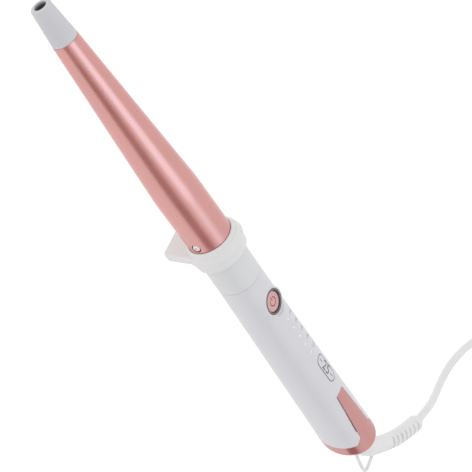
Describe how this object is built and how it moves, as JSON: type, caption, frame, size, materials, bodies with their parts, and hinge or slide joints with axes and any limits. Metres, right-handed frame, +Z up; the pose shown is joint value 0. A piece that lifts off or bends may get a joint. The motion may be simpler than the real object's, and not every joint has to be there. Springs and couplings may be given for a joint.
{
  "type": "hair curling wand",
  "caption": "Conical clipless curling wand with a stand collar, push button, indicator lights and a swivel mains cord, lying on a table.",
  "frame": {"origin": "middle of the wand's length without its cord, on the surface that it lies on", "axes": "+X runs from the cool tip to the cord, +Z is up and the power button faces up"},
  "size_m": [0.5654, 0.1991, 0.0425],
  "materials": {
    "rose_barrel": "satin rose gold ceramic coat",
    "rose_plated": "polished rose gold",
    "pale_plastic": "soft satin pale grey",
    "warm_plastic": "satin warm white",
    "dark_bezel": "gloss gunmetal",
    "clear_pipe": "clear, frosted end",
    "steel": "plain",
    "aluminium": "as extruded",
    "brass": "plain",
    "nickel_pins": "nickel plated",
    "ceramic": "fired ceramic",
    "dark_plastic": "moulded black",
    "board_green": "solder resist",
    "white_rubber": "soft white",
    "tie_fabric": "woven tape"
  },
  "bodies": {
    "wand": {"barrel": "rose_barrel", "tip_cap": "pale_plastic", "tip_screw": "steel", "heat_spreader_upper": "aluminium", "heat_spreader_lower": "aluminium", "ptc_tiles": "ceramic", "electrode_plates": "brass", "barrel_mount": "dark_plastic", "barrel_screws": "steel", "thermal_fuse": "steel", "thermistor": "ceramic", "stand_collar": "warm_plastic", "neck_sleeve": "pale_plastic", "handle_shell": "pale_plastic", "tail_trim": "rose_plated", "button_bezel": "dark_bezel", "light_pipes": "clear_pipe", "chassis": "dark_plastic", "circuit_board": "board_green", "board_screws": "steel", "tact_switch": "dark_plastic", "leds": "clear_pipe", "capacitor": "ceramic", "triac": "dark_plastic", "control_chip": "dark_plastic", "heater_leads": "white_rubber", "brush_holder": "dark_plastic", "contact_brushes": "brass", "cord": "white_rubber", "cord_coil": "white_rubber", "coil_tie": "tie_fabric", "cord_tail": "white_rubber", "plug_body": "white_rubber", "plug_pins": "nickel_pins"},
    "button": {"power_button": "rose_plated"},
    "swivel": {"swivel_hub": "pale_plastic", "slip_rings": "brass", "cord_sleeve": "white_rubber", "hanging_loop": "white_rubber"}
  },
  "joints": [
    {"name": "button_press", "type": "slide", "parent": "wand", "child": "button", "axis": [-0.068, 0, -0.9977], "range_m": [0, 0.0008], "stiffness_N_per_m": 400},
    {"name": "swivel_spin", "type": "hinge", "parent": "wand", "child": "swivel", "pos_m": [0.1583, 0, 0.01485], "axis": [0.9977, 0, -0.068], "continuous": true}
  ]
}
